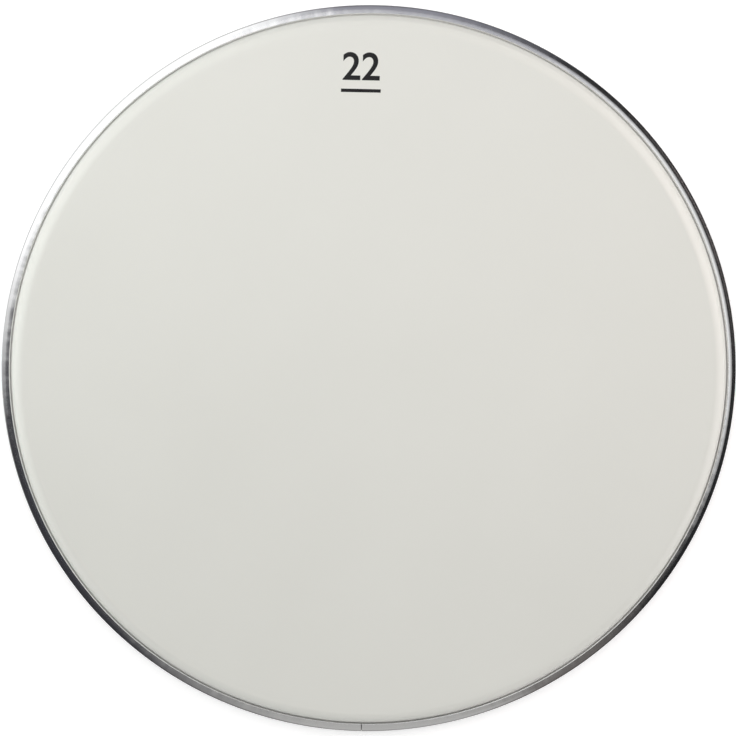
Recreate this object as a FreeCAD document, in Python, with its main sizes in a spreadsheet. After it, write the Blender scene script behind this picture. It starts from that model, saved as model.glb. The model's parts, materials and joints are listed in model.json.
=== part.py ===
import FreeCAD, Part
import os

import Sketcher

# A 22 inch drum head, in millimetres: white film cast with resin into a rolled aluminium flesh hoop.
# The origin is the centre of the hoop's underside, +Z points up through the playing face, and every
# profile is drawn with its radius along +X. What belongs to the hoop's butt joint is then turned to it.

SIZES = {
    # what the head slips over
    "shell_diameter": 558.8,
    "shell_clearance": 1.3,
    # rolled strip of the flesh hoop
    "hoop_width": 9.8,
    "hoop_height": 10.0,
    "hoop_wall": 0.8,
    "hoop_corner": 1.5,
    "hoop_shoulder": 3.8,
    "lip_curl": 1.0,
    "lip_drop": 1.9,
    "inner_wall_drop": 2.0,
    # butt joint of the strip, and the short angle strip that bridges it
    "joint_bearing": -90.0,
    "joint_gap": 1.3,
    "splice_length": 46.0,
    "splice_wall": 0.7,
    "splice_height": 4.2,
    "splice_fit": 0.1,
    # film: playing face, collar, and the skirt that goes down into the channel
    "film_thickness": 0.25,
    "collar_rise": 12.0,
    "collar_sink": 0.6,
    "collar_slope": 70.0,
    "collar_shoulder": 9.0,
    "collar_foot_bend": 2.5,
    "skirt_clearance": 0.45,
    "skirt_floor_gap": 1.8,
    "lip_clearance": 1.3,
    # holes punched in the skirt, which the resin runs through
    "key_hole_diameter": 3.2,
    "key_hole_margin": 0.9,
    "key_hole_count": 48,
    # resin: how far it stays below the top of the inner wall, and how far it shrinks off the walls
    "resin_freeboard": 0.5,
    "resin_shrink": 0.2,
    # how far a cutter runs past what it cuts
    "overrun": 1.0,
}

HOOP_INNER = "(Sizes.shell_diameter / 2 + Sizes.shell_clearance)"
HOOP_OUTER = f"({HOOP_INNER} + Sizes.hoop_width)"
HOOP_TOP = "Sizes.hoop_height"
LIP_UNDERSIDE = "(Sizes.hoop_height - Sizes.hoop_wall)"
LIP_FOOT = "(Sizes.hoop_height - Sizes.lip_drop)"
FLOOR = "Sizes.hoop_wall"
CHANNEL_INNER = f"({HOOP_INNER} + Sizes.hoop_wall)"
CHANNEL_OUTER = f"({HOOP_OUTER} - Sizes.hoop_wall)"
INNER_WALL_TOP = "(Sizes.hoop_height - Sizes.inner_wall_drop)"
INSIDE_CORNER = "(Sizes.hoop_corner - Sizes.hoop_wall)"
INSIDE_CURL = "(Sizes.lip_curl - Sizes.hoop_wall)"

SKIRT_OUTER = f"({CHANNEL_INNER} + Sizes.skirt_clearance + Sizes.film_thickness)"
SKIRT_FOOT = f"({FLOOR} + Sizes.skirt_floor_gap)"
LIP_INNER = f"({SKIRT_OUTER} + Sizes.lip_clearance)"
LIP_OUTER = f"({LIP_INNER} + Sizes.hoop_wall)"
# on a narrower hoop, the shoulder's bend shrinks with the flat beside the curl, which stays flat at its middle
SHOULDER_MOST_SHARE = 0.98
SHOULDER_MOST = f"{SHOULDER_MOST_SHARE} * ({HOOP_OUTER} - {LIP_INNER} - Sizes.lip_curl)"
HOOP_SHOULDER = f"min(Sizes.hoop_shoulder; {SHOULDER_MOST})"
INSIDE_SHOULDER = f"({HOOP_SHOULDER} - Sizes.hoop_wall)"
COLLAR_FOOT = "(Sizes.hoop_height - Sizes.collar_sink)"
FACE_HEIGHT = "(Sizes.hoop_height + Sizes.collar_rise)"
COLLAR_TOP = f"({SKIRT_OUTER} - ({FACE_HEIGHT} - {COLLAR_FOOT}) / tan(Sizes.collar_slope))"
KEY_HOLE_HEIGHT = f"({SKIRT_FOOT} + Sizes.key_hole_margin + Sizes.key_hole_diameter / 2)"
PUNCH_START = f"({SKIRT_OUTER} - Sizes.film_thickness - Sizes.overrun)"

SPLICE_INNER = f"({CHANNEL_INNER} + {INSIDE_CORNER} + Sizes.splice_fit)"
SPLICE_OUTER = f"({CHANNEL_OUTER} - Sizes.splice_fit)"
SPLICE_LEG = f"({SPLICE_OUTER} - Sizes.splice_wall)"
SPLICE_TOP = f"({FLOOR} + Sizes.splice_height)"
SPLICE_FLOOR = f"({FLOOR} + Sizes.splice_wall)"
SPLICE_ANGLE = f"Sizes.splice_length / {SPLICE_OUTER} * 180 / pi"

RESIN_INNER = f"({CHANNEL_INNER} + Sizes.resin_shrink)"
RESIN_OUTER = f"({CHANNEL_OUTER} - Sizes.resin_shrink)"
RESIN_TOP = f"({INNER_WALL_TOP} - Sizes.resin_freeboard)"
RESIN_CEILING = f"({LIP_UNDERSIDE} - Sizes.resin_shrink)"
RESIN_SHOULDER = f"({INSIDE_SHOULDER} - Sizes.resin_shrink)"

JOINT_ANGLE = f"(Sizes.joint_gap / {HOOP_OUTER} * 180 / pi)"

ORIGIN_POINT = (-1, 1)
HORIZONTAL_AXIS_INDEX = -1
VERTICAL_AXIS_INDEX = -2
FULL_TURN = 360

doc = FreeCAD.newDocument("drum_head")


def make_sheet():
    """The driving sizes, one row each."""
    sizes = doc.addObject("Spreadsheet::Sheet", "Sizes")
    for row, (alias, number) in enumerate(SIZES.items(), start=1):
        sizes.set(f"A{row}", alias)
        sizes.set(f"B{row}", str(number))
        sizes.setAlias(f"B{row}", alias)
    doc.recompute()
    return sizes


sheet = make_sheet()


def value(expression):
    """What an expression in the driving sizes comes to."""
    return float(sheet.evalExpression(expression))


def origin_feature(body, role):
    return next(feature for feature in body.Origin.OriginFeatures if feature.Role == role)


def new_sketch(body, name, plane):
    sketch = body.newObject("Sketcher::SketchObject", name)
    sketch.AttachmentSupport = [(origin_feature(body, plane), "")]
    sketch.MapMode = "FlatFace"
    return sketch


def bind(sketch, constraint, expression):
    index = sketch.addConstraint(constraint)
    sketch.setExpression(f"Constraints[{index}]", expression)


def hold_corner(sketch, line, direction, expression, first_with):
    """Place a line's start along one direction: on an axis, in line with a like corner, or at its size."""
    distance, in_line, zero_axis = direction
    if expression == "0":
        sketch.addConstraint(Sketcher.Constraint("PointOnObject", line, 1, zero_axis))
    elif expression in first_with:
        sketch.addConstraint(Sketcher.Constraint(in_line, first_with[expression], 1, line, 1))
    else:
        bind(sketch, Sketcher.Constraint(distance, *ORIGIN_POINT, line, 1, value(expression)), expression)
        first_with[expression] = line


def radial_profile(body, name, corners):
    """A closed outline through corners given as (radius, height) expressions, or (radius, height, bend)."""
    sketch = new_sketch(body, name, "XZ_Plane")
    points = [FreeCAD.Vector(value(corner[0]), value(corner[1]), 0) for corner in corners]
    for start, end in zip(points, points[1:] + points[:1]):
        sketch.addGeometry(Part.LineSegment(start, end))
    for line in range(len(points)):
        following = (line + 1) % len(points)
        sketch.addConstraint(Sketcher.Constraint("Coincident", line, 2, following, 1))
    first_at_radius = {}
    first_at_height = {}
    for line, (radius, height, *_) in enumerate(corners):
        hold_corner(sketch, line, ("DistanceX", "Vertical", VERTICAL_AXIS_INDEX), radius, first_at_radius)
        hold_corner(sketch, line, ("DistanceY", "Horizontal", HORIZONTAL_AXIS_INDEX), height, first_at_height)
    for line, (_, _, *bends) in enumerate(corners):
        for bend in bends:
            bend_corner(sketch, line, bend)
    return sketch


def bend_corner(sketch, line, radius):
    """Round the corner where a line starts, which keeps its place as a point of the sketch."""
    keep_corner = True
    sketch.fillet(line, 1, value(radius), True, keep_corner)
    arcs = [number for number, item in enumerate(sketch.Geometry) if isinstance(item, Part.ArcOfCircle)]
    bind(sketch, Sketcher.Constraint("Radius", arcs[-1], value(radius)), radius)


def revolve(body, name, sketch):
    turned = body.newObject("PartDesign::Revolution", name)
    turned.Profile = sketch
    turned.ReferenceAxis = (sketch, ["V_Axis"])
    turned.Angle = FULL_TURN
    doc.recompute()
    return turned


def turn_to_joint(body, past_it="0"):
    body.setExpression("Placement.Rotation.Angle", f"Sizes.joint_bearing + {past_it}")
    doc.recompute()


def cut(name, base, tool):
    remainder = doc.addObject("Part::Cut", name)
    remainder.Base = base
    remainder.Tool = tool
    doc.recompute()
    return remainder


def make_hoop():
    """A strip rolled to a channel with a low inner wall and a curled lip, and bent round to a butt joint."""
    body = doc.addObject("PartDesign::Body", "flesh_hoop")
    section = radial_profile(body, "hoop_section", [
        (HOOP_INNER, "0", "Sizes.hoop_corner"),
        (HOOP_OUTER, "0", "Sizes.hoop_corner"),
        (HOOP_OUTER, HOOP_TOP, HOOP_SHOULDER),
        (LIP_INNER, HOOP_TOP, "Sizes.lip_curl"),
        (LIP_INNER, LIP_FOOT),
        (LIP_OUTER, LIP_FOOT),
        (LIP_OUTER, LIP_UNDERSIDE, INSIDE_CURL),
        (CHANNEL_OUTER, LIP_UNDERSIDE, INSIDE_SHOULDER),
        (CHANNEL_OUTER, FLOOR, INSIDE_CORNER),
        (CHANNEL_INNER, FLOOR, INSIDE_CORNER),
        (CHANNEL_INNER, INNER_WALL_TOP),
        (HOOP_INNER, INNER_WALL_TOP),
    ])
    strip = revolve(body, "rolled_strip", section)
    strip.setExpression("Angle", f"{FULL_TURN} - {JOINT_ANGLE}")
    turn_to_joint(body, f"{JOINT_ANGLE} / 2")
    return body


def make_splice():
    """An angle strip on the channel's floor and outer wall, astride the butt joint."""
    body = doc.addObject("PartDesign::Body", "hoop_splice")
    section = radial_profile(body, "splice_section", [
        (SPLICE_INNER, FLOOR),
        (SPLICE_OUTER, FLOOR, INSIDE_CORNER),
        (SPLICE_OUTER, SPLICE_TOP),
        (SPLICE_LEG, SPLICE_TOP),
        (SPLICE_LEG, SPLICE_FLOOR),
        (SPLICE_INNER, SPLICE_FLOOR),
    ])
    strip = revolve(body, "splice_strip", section)
    strip.Midplane = True
    strip.setExpression("Angle", SPLICE_ANGLE)
    turn_to_joint(body)
    return body


def make_film():
    """One ply of film, formed as a pan and open below, with a ring of holes punched in its skirt."""
    body = doc.addObject("PartDesign::Body", "drum_film")
    outline = radial_profile(body, "pan_outline", [
        ("0", SKIRT_FOOT),
        (SKIRT_OUTER, SKIRT_FOOT),
        (SKIRT_OUTER, COLLAR_FOOT, "Sizes.collar_foot_bend"),
        (COLLAR_TOP, FACE_HEIGHT, "Sizes.collar_shoulder"),
        ("0", FACE_HEIGHT),
    ])
    pan = revolve(body, "pan", outline)
    faces = enumerate(pan.Shape.Faces, start=1)
    lowest = min(faces, key=lambda numbered: numbered[1].CenterOfMass.z)
    ply = body.newObject("PartDesign::Thickness", "ply")
    ply.Base = (pan, [f"Face{lowest[0]}"])
    ply.Reversed = True
    ply.setExpression("Value", "Sizes.film_thickness")
    doc.recompute()
    punch_key_holes(body, ply)
    return body


def punch_key_holes(body, ply):
    sketch = new_sketch(body, "punch_outline", "YZ_Plane")
    sketch.setExpression("AttachmentOffset.Base.z", PUNCH_START)
    centre = FreeCAD.Vector(0, value(KEY_HOLE_HEIGHT), 0)
    sketch.addGeometry(Part.Circle(centre, FreeCAD.Vector(0, 0, 1), value("Sizes.key_hole_diameter") / 2))
    sketch.addConstraint(Sketcher.Constraint("PointOnObject", 0, 3, VERTICAL_AXIS_INDEX))
    height = Sketcher.Constraint("DistanceY", *ORIGIN_POINT, 0, 3, value(KEY_HOLE_HEIGHT))
    bind(sketch, height, KEY_HOLE_HEIGHT)
    width = Sketcher.Constraint("Diameter", 0, value("Sizes.key_hole_diameter"))
    bind(sketch, width, "Sizes.key_hole_diameter")
    hole = body.newObject("PartDesign::Pocket", "key_hole")
    hole.Profile = sketch
    hole.Reversed = True
    hole.setExpression("Length", "Sizes.film_thickness + 2 * Sizes.overrun")
    doc.recompute()
    ring = body.newObject("PartDesign::PolarPattern", "key_holes")
    ring.Originals = [hole]
    ring.Axis = (origin_feature(body, "Z_Axis"), [""])
    ring.Angle = FULL_TURN
    ring.setExpression("Occurrences", "Sizes.key_hole_count")
    body.Tip = ring
    doc.recompute()
    if not ring.Shape.Volume < hole.Shape.Volume < ply.Shape.Volume:
        raise RuntimeError("the key holes miss the skirt")


def make_resin(film, splice):
    """Resin poured to a level in the channel: it takes the shape of all that stands in it."""
    body = doc.addObject("PartDesign::Body", "resin_pour")
    section = radial_profile(body, "channel_section", [
        (RESIN_INNER, FLOOR, INSIDE_CORNER),
        (RESIN_OUTER, FLOOR, INSIDE_CORNER),
        (RESIN_OUTER, RESIN_CEILING, RESIN_SHOULDER),
        (RESIN_INNER, RESIN_CEILING),
    ])
    full = revolve(body, "full_channel", section)
    level_resin(body, full)
    round_film = cut("resin_round_film", body, film)
    return cut("resin_fill", round_film, splice)


def level_resin(body, full):
    """Take away what would stand above the level of the pour."""
    section = radial_profile(body, "air_section", [
        (f"({RESIN_INNER} - Sizes.overrun)", RESIN_TOP),
        (f"({RESIN_OUTER} + Sizes.overrun)", RESIN_TOP),
        (f"({RESIN_OUTER} + Sizes.overrun)", f"({RESIN_CEILING} + Sizes.overrun)"),
        (f"({RESIN_INNER} - Sizes.overrun)", f"({RESIN_CEILING} + Sizes.overrun)"),
    ])
    air = body.newObject("PartDesign::Groove", "air_above")
    air.Profile = section
    air.ReferenceAxis = (section, ["V_Axis"])
    air.Angle = FULL_TURN
    doc.recompute()
    if not air.Shape.Volume < full.Shape.Volume:
        raise RuntimeError("the air above the resin misses it")


def check(nodes):
    failed = [item.Name for item in doc.Objects if {"Invalid", "Error"} & set(item.State)]
    if failed:
        raise RuntimeError(f"failed to compute: {failed}")
    for node in nodes:
        shape = node.Shape
        if shape.isNull() or not shape.isValid() or len(shape.Solids) != 1:
            raise RuntimeError(f"{node.Label} is not one valid solid")


def main():
    hoop = make_hoop()
    film = make_film()
    splice = make_splice()
    resin = make_resin(film, splice)
    nodes = [hoop, film, resin, splice]
    check(nodes)
    os.makedirs("parts", exist_ok=True)
    for node in nodes:
        node.Shape.exportStep(f"parts/{node.Label}.step")
        box = node.Shape.optimalBoundingBox(True, False)
        print(f"{node.Label}: {node.Shape.Volume:.1f} mm3, z {box.ZMin:.3f} to {box.ZMax:.3f}, "
              f"x {box.XMin:.3f} to {box.XMax:.3f}")


main()
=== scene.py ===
import json
import math

import bmesh
import bpy
from mathutils import Matrix, Vector


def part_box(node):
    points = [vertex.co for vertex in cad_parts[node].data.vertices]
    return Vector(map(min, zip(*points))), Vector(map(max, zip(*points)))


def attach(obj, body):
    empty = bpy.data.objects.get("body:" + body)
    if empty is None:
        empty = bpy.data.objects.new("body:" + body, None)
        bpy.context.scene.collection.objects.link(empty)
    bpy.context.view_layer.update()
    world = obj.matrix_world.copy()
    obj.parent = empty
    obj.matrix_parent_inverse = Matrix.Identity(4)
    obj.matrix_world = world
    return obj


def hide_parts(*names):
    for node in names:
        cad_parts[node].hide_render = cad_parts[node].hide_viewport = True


# A 22 inch drum head lying face up, in metres: white film cast into a polished aluminium hoop.
# The origin is the centre of the hoop's underside, and the hoop's butt joint is at -Y.

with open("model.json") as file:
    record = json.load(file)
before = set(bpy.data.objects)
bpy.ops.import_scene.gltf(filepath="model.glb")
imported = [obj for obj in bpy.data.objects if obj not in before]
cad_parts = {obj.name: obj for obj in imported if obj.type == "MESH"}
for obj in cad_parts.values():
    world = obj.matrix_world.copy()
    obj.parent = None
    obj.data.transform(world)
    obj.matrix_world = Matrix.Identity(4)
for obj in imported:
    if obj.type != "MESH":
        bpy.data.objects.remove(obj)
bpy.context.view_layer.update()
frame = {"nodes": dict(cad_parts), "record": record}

MM = 0.001
NEAR = 0.01 * MM
SQUARE = math.radians(90)
FULL_TURN = 360

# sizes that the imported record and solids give
MOUNTS = {mount["name"]: mount["dims"] for mount in frame["record"]["mounts"]}
HOOP_INNER = MOUNTS["shell_opening"]["r_mm"] * MM
HOOP_OUTER = MOUNTS["hoop_outside"]["r_mm"] * MM
HOOP_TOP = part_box("flesh_hoop")[1].z
SKIRT_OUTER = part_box("drum_film")[1].x
SKIRT_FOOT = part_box("drum_film")[0].z
FILM_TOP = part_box("drum_film")[1].z

# rolled strip of the hoop
HOOP_WALL = 0.8 * MM
HOOP_CORNER = 1.5 * MM
HOOP_SHOULDER = 3.8 * MM
LIP_CURL = 1.0 * MM
LIP_DROP = 1.9 * MM
LIP_FOOT = HOOP_TOP - LIP_DROP
SLOT_WIDTH = 1.0 * MM
LIP_INNER = SKIRT_OUTER + SLOT_WIDTH
INNER_WALL_DROP = 2.0 * MM
INNER_WALL_TOP = HOOP_TOP - INNER_WALL_DROP
EDGE_ROUND = 0.2 * MM

# butt joint of the strip: the gap, and the strips that its cut makes, of which the middle one goes
JOINT_GAP = 0.3 * MM
JOINT_STRIPS = 3

# film, whose face lies lower than the solid's by the thickness of the ink that is printed on it
INK_THICKNESS = 0.02 * MM
FILM_THICKNESS = 0.25 * MM
FACE_HEIGHT = FILM_TOP - INK_THICKNESS
COLLAR_SLOPE = math.radians(70)
COLLAR_SHOULDER = 9.0 * MM
COLLAR_SINK = 0.6 * MM
COLLAR_FOOT = HOOP_TOP - COLLAR_SINK
COLLAR_FOOT_BEND = 2.5 * MM
COLLAR_TOP = SKIRT_OUTER - (FACE_HEIGHT - COLLAR_FOOT) / math.tan(COLLAR_SLOPE)
# radii of the rings that divide the playing face, as shares of the collar's top
FACE_RING_SHARES = (0.97, 0.95, 0.8, 0.55, 0.25)

# size number printed near the rim, and the rule under it, whose drop and thickness are shares of its size
MARK_TEXT = "22"
MARK_SIZE = 30 * MM
MARK_BOLDNESS = 0.4 * MM
MARK_RULE_DROP_SHARE = -0.22
MARK_RULE_SHARE = 0.06
MARK_PLACE = Vector((-12 * MM, 242 * MM, FACE_HEIGHT))

# how finely round stretches are divided
TURN_STEPS = 720
CORNER_STEPS = 6
SHOULDER_STEPS = 12
CURL_STEPS = 8
EASED_STEPS = 2
COLLAR_STEPS = 14
FOOT_STEPS = 4

# faces that meet at less than the first angle are shaded as one, and edges past the second are eased
SMOOTH_ANGLE = math.radians(40)
SHARP_ANGLE = math.radians(60)

# Solidify's offset for a wall that grows to the inside
INWARDS = -1


def pick_edges(piece, passes):
    """In edit mode, select only the edges whose two ends pass a test on their place."""
    bpy.ops.mesh.select_mode(type="EDGE")
    bpy.ops.mesh.select_all(action="DESELECT")
    mesh = bmesh.from_edit_mesh(piece.data)
    for edge in mesh.edges:
        edge.select_set(all(passes(end.co) for end in edge.verts))
    bmesh.update_edit_mesh(piece.data)


def pick_faces(piece, passes):
    """In edit mode, select only the faces whose centre passes a test on its place."""
    bpy.ops.mesh.select_mode(type="FACE")
    bpy.ops.mesh.select_all(action="DESELECT")
    mesh = bmesh.from_edit_mesh(piece.data)
    for face in mesh.faces:
        face.select_set(passes(face.calc_center_median()))
    bmesh.update_edit_mesh(piece.data)


def on_ring(radius, height):
    """A test for points at one radius and height."""
    def passes(point):
        return abs(point.xy.length - radius) < NEAR and abs(point.z - height) < NEAR
    return passes


def start_circle(name, radius, height, fill="NOTHING"):
    """A circle of edges round the axis, left in edit mode with its edges selected."""
    bpy.ops.object.select_all(action="DESELECT")
    bpy.ops.mesh.primitive_circle_add(
        vertices=TURN_STEPS, radius=radius, fill_type=fill, location=(0, 0, height))
    piece = bpy.context.object
    piece.name = name
    bpy.ops.object.transform_apply(location=True, rotation=True, scale=True)
    bpy.ops.object.mode_set(mode="EDIT")
    pick_edges(piece, on_ring(radius, height))
    return piece


def extrude_ring(start, end):
    """Carry the selected ring of edges from one (radius, height) to another, with a wall between."""
    start_radius, start_height = start
    end_radius, end_height = end
    rise = end_height - start_height
    growth = end_radius / start_radius
    bpy.ops.mesh.extrude_edges_move(TRANSFORM_OT_translate={"value": (0, 0, rise)})
    bpy.ops.transform.resize(value=(growth, growth, 1), center_override=(0, 0, 0))


def bend_ring(piece, corner, radius, turn, steps):
    """Round a corner of the wall, which turns by that angle there, to a bend of that radius."""
    pick_edges(piece, on_ring(*corner))
    reach = radius * math.tan(turn / 2)
    bpy.ops.mesh.bevel(offset=reach, segments=steps, affect="EDGES")


def face_outwards(piece):
    """Make an open wall's faces agree, with the highest of them looking up."""
    bpy.ops.mesh.select_all(action="SELECT")
    bpy.ops.mesh.normals_make_consistent(inside=False)
    mesh = bmesh.from_edit_mesh(piece.data)
    highest = max(mesh.faces, key=lambda face: face.calc_center_median().z)
    if highest.normal.z < 0:
        bpy.ops.mesh.flip_normals()


def thicken(piece, thickness):
    """Give a wall its thickness, inwards."""
    wall = piece.modifiers.new("wall", "SOLIDIFY")
    wall.thickness = thickness
    wall.offset = INWARDS
    wall.use_even_offset = True
    wall.use_quality_normals = True
    bpy.ops.object.modifier_apply(modifier=wall.name)


def ease_edges(piece, radius):
    """Break the sharp edges of a cut strip."""
    eased = piece.modifiers.new("eased", "BEVEL")
    eased.width = radius
    eased.segments = EASED_STEPS
    eased.limit_method = "ANGLE"
    eased.angle_limit = SHARP_ANGLE
    bpy.ops.object.modifier_apply(modifier=eased.name)


def finish_piece(piece, material):
    """Put a made piece's place into its mesh, smooth it, give it its material and seat it on the body."""
    bpy.ops.object.transform_apply(location=True, rotation=True, scale=True)
    bpy.ops.object.shade_smooth_by_angle(angle=SMOOTH_ANGLE)
    piece.data.materials.clear()
    piece.data.materials.append(material)
    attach(piece, "root")


def open_joint(hoop):
    """Part the wall along its section at -Y, with a strip on each side that keeps the shading straight."""
    def at_joint(point):
        return abs(point.x) < NEAR and point.y < 0
    pick_edges(hoop, at_joint)
    bpy.ops.mesh.bevel(offset=JOINT_GAP * JOINT_STRIPS / 2, segments=JOINT_STRIPS, affect="EDGES")
    pick_faces(hoop, at_joint)
    bpy.ops.mesh.delete(type="FACE")


def make_hoop(material):
    """The rolled strip: an inner wall, a floor, an outer wall and a lip that curls over towards the film."""
    corners = [
        (HOOP_INNER, INNER_WALL_TOP),
        (HOOP_INNER, 0),
        (HOOP_OUTER, 0),
        (HOOP_OUTER, HOOP_TOP),
        (LIP_INNER, HOOP_TOP),
        (LIP_INNER, LIP_FOOT),
    ]
    bends = [
        (HOOP_CORNER, CORNER_STEPS),
        (HOOP_CORNER, CORNER_STEPS),
        (HOOP_SHOULDER, SHOULDER_STEPS),
        (LIP_CURL, CURL_STEPS),
    ]
    hoop = start_circle("rolled_hoop", *corners[0])
    for start, end in zip(corners, corners[1:]):
        extrude_ring(start, end)
    open_joint(hoop)
    for corner, (radius, steps) in zip(corners[1:], bends):
        bend_ring(hoop, corner, radius, SQUARE, steps)
    face_outwards(hoop)
    bpy.ops.object.mode_set(mode="OBJECT")
    thicken(hoop, HOOP_WALL)
    ease_edges(hoop, EDGE_ROUND)
    finish_piece(hoop, material)
    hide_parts("flesh_hoop")


def divide_face(film):
    """Divide the playing face into rings about a pole, so that its middle stays flat in the shading."""
    def is_face(centre):
        return centre.xy.length < NEAR
    pick_faces(film, is_face)
    radius = COLLAR_TOP - COLLAR_SHOULDER * math.tan(COLLAR_SLOPE / 2)
    for share in FACE_RING_SHARES:
        inner = COLLAR_TOP * share
        bpy.ops.mesh.inset(thickness=radius - inner)
        radius = inner
    bpy.ops.mesh.poke()


def make_film(material):
    """One ply of film: a flat face, a rounded collar, and a skirt that goes down into the hoop."""
    corner = (COLLAR_TOP, FACE_HEIGHT)
    foot = (SKIRT_OUTER, COLLAR_FOOT)
    hem = (SKIRT_OUTER, SKIRT_FOOT)
    film = start_circle("formed_film", *corner, "NGON")
    extrude_ring(corner, foot)
    extrude_ring(foot, hem)
    bend_ring(film, corner, COLLAR_SHOULDER, COLLAR_SLOPE, COLLAR_STEPS)
    bend_ring(film, foot, COLLAR_FOOT_BEND, SQUARE - COLLAR_SLOPE, FOOT_STEPS)
    divide_face(film)
    face_outwards(film)
    bpy.ops.object.mode_set(mode="OBJECT")
    thicken(film, FILM_THICKNESS)
    finish_piece(film, material)
    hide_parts("drum_film")


def make_size_mark(material):
    """The shell's diameter in inches, printed on the film."""
    bpy.ops.object.select_all(action="DESELECT")
    bpy.ops.object.text_add()
    mark = bpy.context.object
    mark.name = "size_mark"
    mark.data.body = MARK_TEXT
    mark.data.size = MARK_SIZE
    mark.data.offset = MARK_BOLDNESS
    mark.data.align_x = "CENTER"
    mark.data.align_y = "CENTER"
    mark.data.extrude = INK_THICKNESS / 2
    for digit in mark.data.body_format:
        digit.use_underline = True
    mark.data.underline_position = MARK_RULE_DROP_SHARE
    mark.data.underline_height = MARK_RULE_SHARE
    bpy.ops.object.convert(target="MESH")
    mark.location = MARK_PLACE + Vector((0, 0, INK_THICKNESS / 2))
    finish_piece(mark, material)


# places of the inputs and outputs that Blender's Mix node keeps for values and for colours
MIX_FACTOR = 0
MIX_FIRST_VALUE = 2
MIX_SECOND_VALUE = 3
MIX_FIRST_COLOUR = 6
MIX_SECOND_COLOUR = 7
MIXED_VALUE = 0
MIXED_COLOUR = 2


def feed(tree, node, inputs):
    """Give a node its inputs, as values or as the sockets that feed them."""
    for name, given in dict(inputs).items():
        if isinstance(given, bpy.types.NodeSocket):
            tree.links.new(given, node.inputs[name])
        else:
            node.inputs[name].default_value = given


def new_node(tree, kind, inputs=(), **settings):
    """A node with its settings and inputs."""
    made = tree.nodes.new(kind)
    for name, setting in settings.items():
        setattr(made, name, setting)
    feed(tree, made, inputs)
    return made


def maths(tree, operation, *given):
    """The result of one operation on values."""
    return new_node(tree, "ShaderNodeMath", enumerate(given), operation=operation).outputs["Value"]


def vector_maths(tree, operation, *given):
    """The results of one operation on vectors."""
    return new_node(tree, "ShaderNodeVectorMath", enumerate(given), operation=operation).outputs


def split(tree, vector):
    """The X, Y and Z of a vector."""
    return new_node(tree, "ShaderNodeSeparateXYZ", {"Vector": vector}).outputs


def own_place(tree):
    """A point's place in its own piece."""
    return new_node(tree, "ShaderNodeTexCoord").outputs["Object"]


def map_range(tree, inputs, **settings):
    """A value carried from one range to another."""
    return new_node(tree, "ShaderNodeMapRange", inputs, **settings).outputs["Result"]


def spread(tree, value, low, high):
    """A value from 0 to 1 spread between two others."""
    return map_range(tree, {"Value": value, "To Min": low, "To Max": high})


def mix_values(tree, factor, first, second):
    """A value between two others."""
    inputs = {MIX_FACTOR: factor, MIX_FIRST_VALUE: first, MIX_SECOND_VALUE: second}
    return new_node(tree, "ShaderNodeMix", inputs).outputs[MIXED_VALUE]


def mix_colours(tree, factor, first, second):
    """A colour between two others."""
    inputs = {MIX_FACTOR: factor, MIX_FIRST_COLOUR: first, MIX_SECOND_COLOUR: second}
    return new_node(tree, "ShaderNodeMix", inputs, data_type="RGBA").outputs[MIXED_COLOUR]


def noise(tree, inputs, **settings):
    """A value that wanders from place to place."""
    return new_node(tree, "ShaderNodeTexNoise", inputs, **settings).outputs[0]


def bump(tree, height, distance, strength):
    """The normal of a surface with that relief."""
    inputs = {"Height": height, "Distance": distance, "Strength": strength}
    return new_node(tree, "ShaderNodeBump", inputs).outputs["Normal"]


def new_group(name, inputs, outputs):
    """An empty shader node group, with the sockets inside it that carry its inputs and outputs."""
    tree = bpy.data.node_groups.new(name, "ShaderNodeTree")
    for label in inputs:
        tree.interface.new_socket(label, in_out="INPUT", socket_type="NodeSocketFloat")
    for label in outputs:
        tree.interface.new_socket(label, in_out="OUTPUT", socket_type="NodeSocketFloat")
    return tree, tree.nodes.new("NodeGroupInput").outputs, tree.nodes.new("NodeGroupOutput").inputs


def add_group(tree, group, inputs):
    """Place a node group in a material with its own values."""
    return new_node(tree, "ShaderNodeGroup", inputs, node_tree=group).outputs


def new_material(name):
    """A material whose tree holds only its shader, and that shader."""
    material = bpy.data.materials.new(name)
    material.use_nodes = True
    return material, material.node_tree, material.node_tree.nodes["Principled BSDF"]


# times this, a place loses its height
FLAT = (1, 1, 0)
# how many finer layers a noise has
RICH_DETAIL = 3.0
PLAIN_DETAIL = 2.0

# each finish: the scale of its marks, the tones and the roughness between which it varies,
# and the depth and strength of its relief
HOOP_MARKS = {"Line scale": 900.0, "Line run": 5.0, "Wave run": 14.0}
HOOP_TONES = ((0.84, 0.845, 0.85, 1), (0.93, 0.93, 0.93, 1))
HOOP_ROUGHNESS = (0.10, 0.20)
HOOP_LINE_SHARE = 0.02
HOOP_RELIEF = (0.35 * MM, 1.0)

SPLICE_MARKS = {"Line scale": 1500.0, "Line run": 9.0, "Wave run": 40.0}
SPLICE_TONES = ((0.62, 0.63, 0.64, 1), (0.76, 0.77, 0.78, 1))
SPLICE_ROUGHNESS = (0.3, 0.45)
SPLICE_RELIEF = (0.05 * MM, 0.5)

FILM_HAZE = {"Cloud scale": 11.0, "Grain scale": 1400.0}
FILM_TONES = ((0.772, 0.776, 0.728, 1), (0.80, 0.804, 0.757, 1))
FILM_ROUGHNESS = (0.30, 0.42)
FILM_IOR = 1.57
FILM_RELIEF = (0.02 * MM, 0.25)

INK_HAZE = {"Cloud scale": 60.0, "Grain scale": 2500.0}
INK_TONES = ((0.010, 0.010, 0.011, 1), (0.024, 0.024, 0.025, 1))
INK_ROUGHNESS = (0.5, 0.65)
INK_SPECULAR = 0.2

RESIN_HAZE = {"Cloud scale": 120.0, "Grain scale": 900.0}
# the resin's tones are pale as painted light, lifting the shade in the narrow slot between hoop and film
RESIN_TONES_PAINTED_PALE = ((0.80, 0.79, 0.77, 1), (0.86, 0.855, 0.835, 1))
RESIN_ROUGHNESS = (0.15, 0.3)
RESIN_RELIEF = (0.1 * MM, 0.5)


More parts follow.
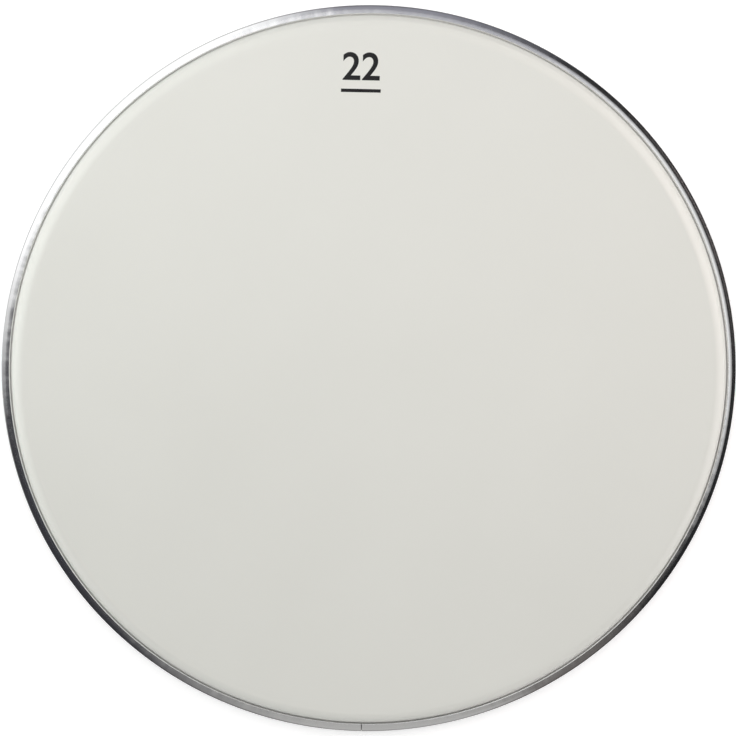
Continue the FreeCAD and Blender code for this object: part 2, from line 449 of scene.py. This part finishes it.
def make_rolling_group():
    """Marks that rolling leaves on a strip: fine lines that run round the hoop, and slow waves along it."""
    tree, given, out = new_group("rolling_marks", ["Line scale", "Line run", "Wave run"], ["Lines", "Waves"])
    place = own_place(tree)
    flat = vector_maths(tree, "MULTIPLY", place, FLAT)["Vector"]
    bearing = vector_maths(tree, "NORMALIZE", flat)["Vector"]
    radius = vector_maths(tree, "LENGTH", flat)["Value"]
    height = split(tree, place)["Z"]
    across = maths(tree, "MULTIPLY", maths(tree, "SUBTRACT", radius, height), given["Line scale"])
    lines = noise(tree, {
        "Vector": bearing, "W": across, "Scale": given["Line run"], "Detail": RICH_DETAIL,
    }, noise_dimensions="4D")
    waves = noise(tree, {"Vector": bearing, "Scale": given["Wave run"], "Detail": PLAIN_DETAIL})
    tree.links.new(lines, out["Lines"])
    tree.links.new(waves, out["Waves"])
    return tree


def make_haze_group():
    """Cloudiness and fine grain of a cast or printed layer."""
    tree, given, out = new_group("cast_haze", ["Cloud scale", "Grain scale"], ["Clouds", "Grain"])
    place = own_place(tree)
    clouds = noise(tree, {"Vector": place, "Scale": given["Cloud scale"], "Detail": RICH_DETAIL})
    grain = noise(tree, {"Vector": place, "Scale": given["Grain scale"], "Detail": PLAIN_DETAIL})
    tree.links.new(clouds, out["Clouds"])
    tree.links.new(grain, out["Grain"])
    return tree


def make_hoop_metal(rolling):
    """Polished aluminium, with the rolling lines still faintly there."""
    material, tree, shader = new_material("polished_aluminium")
    marks = add_group(tree, rolling, HOOP_MARKS)
    faint_lines = maths(tree, "MULTIPLY", marks["Lines"], HOOP_LINE_SHARE)
    relief = maths(tree, "ADD", faint_lines, marks["Waves"])
    feed(tree, shader, {
        "Metallic": 1.0,
        "Base Color": mix_colours(tree, marks["Lines"], *HOOP_TONES),
        "Roughness": spread(tree, marks["Lines"], *HOOP_ROUGHNESS),
        "Normal": bump(tree, relief, *HOOP_RELIEF),
    })
    return material


def make_splice_metal(rolling):
    """Mill-finished aluminium, duller than the hoop."""
    material, tree, shader = new_material("mill_aluminium")
    marks = add_group(tree, rolling, SPLICE_MARKS)
    feed(tree, shader, {
        "Metallic": 1.0,
        "Base Color": mix_colours(tree, marks["Waves"], *SPLICE_TONES),
        "Roughness": spread(tree, marks["Lines"], *SPLICE_ROUGHNESS),
        "Normal": bump(tree, marks["Lines"], *SPLICE_RELIEF),
    })
    return material


def make_film_white(haze):
    """White polyester film with a satin skin, a little cloudy."""
    material, tree, shader = new_material("white_film")
    cast = add_group(tree, haze, FILM_HAZE)
    feed(tree, shader, {
        "IOR": FILM_IOR,
        "Base Color": mix_colours(tree, cast["Clouds"], *FILM_TONES),
        "Roughness": spread(tree, cast["Clouds"], *FILM_ROUGHNESS),
        "Normal": bump(tree, cast["Grain"], *FILM_RELIEF),
    })
    return material


def make_ink(haze):
    """Black screen ink, matt and slightly uneven."""
    material, tree, shader = new_material("black_ink")
    cast = add_group(tree, haze, INK_HAZE)
    feed(tree, shader, {
        "Specular IOR Level": INK_SPECULAR,
        "Base Color": mix_colours(tree, cast["Clouds"], *INK_TONES),
        "Roughness": spread(tree, cast["Grain"], *INK_ROUGHNESS),
    })
    return material


def make_resin(haze):
    """Cast resin, cloudy and glossy where it set against the air, and pale as painted light that lifts the
    shade in the slot it fills.
    """
    material, tree, shader = new_material("cast_resin")
    cast = add_group(tree, haze, RESIN_HAZE)
    feed(tree, shader, {
        "Base Color": mix_colours(tree, cast["Clouds"], *RESIN_TONES_PAINTED_PALE),
        "Roughness": spread(tree, cast["Grain"], *RESIN_ROUGHNESS),
        "Normal": bump(tree, cast["Clouds"], *RESIN_RELIEF),
    })
    return material


WHITE = (1, 1, 1, 1)
BLACK = (0, 0, 0, 1)
# specular level of a surface with no gloss
MATT = 0.0

# strength of the light from low on the two sides and from all round, and how narrow the first is in height
SIDE_LIGHT = 5.4
ROUND_LIGHT = 0.34
SIDE_NARROWNESS = 3.0
# Z of a direction straight up, and the strength at which the background is white
STRAIGHT_UP = 1.0
WHITE_STRENGTH = 1.0

FLOOR_TONE = (0.78, 0.78, 0.78, 1)
FLOOR_ROUGHNESS = 0.9
FLOOR_GLOW = 0.46
FLOOR_SIZE = 12.0

LAMPS = {
    # name: place, size, power and colour
    "key": (Vector((-0.1, 0.5, 1.2)), 0.9, 4.6, (1.0, 0.98, 0.97)),
    "right": (Vector((1.03, 0.38, 0.55)), 0.6, 2.8, (1.0, 0.86, 0.83)),
    "left": (Vector((-1.05, 0.32, 0.55)), 0.6, 1.8, (0.92, 1.0, 0.95)),
}

# a screen from near the rim outwards, up, and over the head to a peak, as (radius, height)
SCREEN_PROFILE = [(0.30, 0.5 * MM), (0.9, 0.5 * MM), (0.9, 0.5), (0.02, 1.25)]
# where the camera's mirrored rays meet the roof, so that each tone shows on the rim at its own bearing
SCREEN_CENTRE = Vector((0.018, -0.13, 0))
# painted reflections, as the glowing screen's tones: the bearings between which each tone lies, in degrees
# from +X, and the tone
WALL_PAINTED_REFLECTIONS = [
    (0, 58, (0.012, 0.012, 0.013)),
    (82, 96, (0.27, 0.27, 0.31)),
    (112, 158, (1.2, 1.2, 1.2)),
    (188, 228, (0.03, 0.03, 0.036)),
    (260, 292, (0.46, 0.455, 0.445)),
    (302, 312, (0.14, 0.13, 0.125)),
    (324, 360, (0.012, 0.012, 0.013)),
]
ROOF_PAINTED_REFLECTIONS = [
    (0, 42, (0.97, 0.97, 0.97)),
    (62, 92, (0.42, 0.42, 0.46)),
    (112, 157, (1.2, 1.2, 1.2)),
    (178, 226, (0.035, 0.035, 0.042)),
    (260, 288, (0.45, 0.445, 0.435)),
    (302, 314, (0.13, 0.12, 0.115)),
    (322, 334, (0.03, 0.03, 0.03)),
    (356, 360, (0.97, 0.97, 0.97)),
]
# heights, along an axis that leans with the camera, between which the wall's tones pass into the roof's
ROOF_AXIS = Vector((0, -0.28, 1))
ROOF_FADE = (0.85, 0.97)
# painted shadow: how much darker the screen is where it lies on the floor, as the floor's shade beside the
# hoop that the rim mirrors, and the height where that ends
SCREEN_FOOT_PAINTED_SHADOW = 0.55
SCREEN_FOOT_HEIGHT = 60 * MM

# camera, from the hoop's outline in the photograph
CAMERA_BEARING = math.radians(187.63)
CAMERA_ELEVATION = math.radians(81.40)
CAMERA_DISTANCE = 2.2
CAMERA_LENS = 136.39
CAMERA_TARGET = Vector((-1.31 * MM, 6.13 * MM, 10 * MM))
CAMERA_UP_BEARING = math.radians(91.3)


def seen_directly(tree):
    """1 for rays of the camera, or mirrored or let through by a surface, and 0 for those that only light."""
    path = new_node(tree, "ShaderNodeLightPath").outputs
    mirrored = maths(tree, "MAXIMUM", path["Is Glossy Ray"], path["Is Transmission Ray"])
    return maths(tree, "MAXIMUM", path["Is Camera Ray"], mirrored)


def make_world():
    """Soft light from all round, strongest low on the left and the right, against a white background."""
    world = bpy.data.worlds.new("studio")
    world.use_nodes = True
    bpy.context.scene.world = world
    tree = world.node_tree
    direction = new_node(tree, "ShaderNodeTexCoord").outputs["Generated"]
    reach = split(tree, direction)
    lowness = maths(tree, "POWER", maths(tree, "SUBTRACT", STRAIGHT_UP, reach["Z"]), SIDE_NARROWNESS)
    sideness = maths(tree, "MULTIPLY", reach["X"], reach["X"])
    lighting = spread(tree, maths(tree, "MULTIPLY", lowness, sideness), ROUND_LIGHT, SIDE_LIGHT)
    strength = mix_values(tree, seen_directly(tree), lighting, WHITE_STRENGTH)
    feed(tree, tree.nodes["Background"], {"Color": WHITE, "Strength": strength})


def make_floor():
    """A plain pale floor, lifted to white where it is seen and still shaded by what stands on it."""
    bpy.ops.object.select_all(action="DESELECT")
    bpy.ops.mesh.primitive_plane_add(size=FLOOR_SIZE)
    floor = bpy.context.object
    floor.name = "floor"
    material, tree, shader = new_material("pale_floor")
    feed(tree, shader, {
        "Base Color": FLOOR_TONE,
        "Roughness": FLOOR_ROUGHNESS,
        "Specular IOR Level": MATT,
        "Emission Color": WHITE,
        "Emission Strength": maths(tree, "MULTIPLY", seen_directly(tree), FLOOR_GLOW),
    })
    floor.data.materials.append(material)


def tone_ramp(tree, bearing, tones):
    """The tone at a bearing, which goes from 0 to 1 in a full turn."""
    ramp = new_node(tree, "ShaderNodeValToRGB", {"Fac": bearing})
    stops = [(edge / FULL_TURN, tone) for start, end, tone in tones for edge in (start, end)]
    elements = ramp.color_ramp.elements
    for element, (position, tone) in zip((elements[0], elements[1]), (stops[0], stops[-1])):
        element.position = position
        element.color = (*tone, 1)
    for position, tone in stops[1:-1]:
        elements.new(position).color = (*tone, 1)
    return ramp.outputs["Color"]


def make_screen():
    """A glowing screen round and over the head, whose darker and lighter stretches are painted reflections,
    seen only in reflections.
    """
    screen = start_circle("screen", *SCREEN_PROFILE[0])
    for lower, upper in zip(SCREEN_PROFILE, SCREEN_PROFILE[1:]):
        extrude_ring(lower, upper)
    bpy.ops.object.mode_set(mode="OBJECT")
    material, tree, shader = new_material("screen")
    place = own_place(tree)
    turned = new_node(tree, "ShaderNodeMapping", {
        "Vector": place, "Rotation": (0, 0, math.pi), "Location": SCREEN_CENTRE,
    }).outputs["Vector"]
    gradient = new_node(tree, "ShaderNodeTexGradient", {"Vector": turned}, gradient_type="RADIAL")
    bearing = gradient.outputs["Fac"]
    wall = tone_ramp(tree, bearing, WALL_PAINTED_REFLECTIONS)
    roof = tone_ramp(tree, bearing, ROOF_PAINTED_REFLECTIONS)
    roof_height = vector_maths(tree, "DOT_PRODUCT", place, ROOF_AXIS)["Value"]
    fade = map_range(tree, {
        "Value": roof_height, "From Min": ROOF_FADE[0], "From Max": ROOF_FADE[1],
    }, interpolation_type="SMOOTHSTEP")
    # painted shadow at the screen's foot, where it lies on the floor
    shade = map_range(tree, {
        "Value": split(tree, place)["Z"], "From Max": SCREEN_FOOT_HEIGHT, "To Min": SCREEN_FOOT_PAINTED_SHADOW,
    })
    # the screen glows with its painted reflection tones, darkened at its foot by a painted shadow
    feed(tree, shader, {
        "Base Color": BLACK,
        "Specular IOR Level": MATT,
        "Emission Color": mix_colours(tree, fade, wall, roof),
        "Emission Strength": shade,
    })
    screen.data.materials.append(material)
    screen.visible_camera = False
    screen.visible_diffuse = False
    screen.visible_transmission = False
    screen.visible_shadow = False


def make_lamp(name, place, size, power, colour):
    """A soft square light turned towards the middle of the head."""
    light = bpy.data.lights.new(name, "AREA")
    light.shape = "SQUARE"
    light.size = size
    light.energy = power
    light.color = colour
    lamp = bpy.data.objects.new(name, light)
    bpy.context.scene.collection.objects.link(lamp)
    lamp.location = place
    lamp.rotation_euler = (-place).to_track_quat("-Z", "Y").to_euler()


def make_camera():
    """The camera above the head, with the photograph's bearing, tilt and roll."""
    lens = bpy.data.cameras.new("camera")
    lens.lens = CAMERA_LENS
    camera = bpy.data.objects.new("camera", lens)
    bpy.context.scene.collection.objects.link(camera)
    back = Vector((
        math.sin(CAMERA_BEARING) * math.cos(CAMERA_ELEVATION),
        -math.cos(CAMERA_BEARING) * math.cos(CAMERA_ELEVATION),
        math.sin(CAMERA_ELEVATION),
    ))
    up = Vector((math.cos(CAMERA_UP_BEARING), math.sin(CAMERA_UP_BEARING), 0))
    right = up.cross(back).normalized()
    axes = Matrix((right, back.cross(right), back)).transposed()
    camera.matrix_world = Matrix.Translation(CAMERA_TARGET + back * CAMERA_DISTANCE) @ axes.to_4x4()
    bpy.context.scene.camera = camera


rolling_marks = make_rolling_group()
cast_haze = make_haze_group()
make_hoop(make_hoop_metal(rolling_marks))
make_film(make_film_white(cast_haze))
make_size_mark(make_ink(cast_haze))
frame["nodes"]["resin_fill"].material_slots[0].material = make_resin(cast_haze)
frame["nodes"]["hoop_splice"].material_slots[0].material = make_splice_metal(rolling_marks)

make_floor()
make_screen()
make_world()
for lamp_name, lamp_setting in LAMPS.items():
    make_lamp(lamp_name, *lamp_setting)
make_camera()
bpy.context.scene.view_settings.view_transform = "Standard"
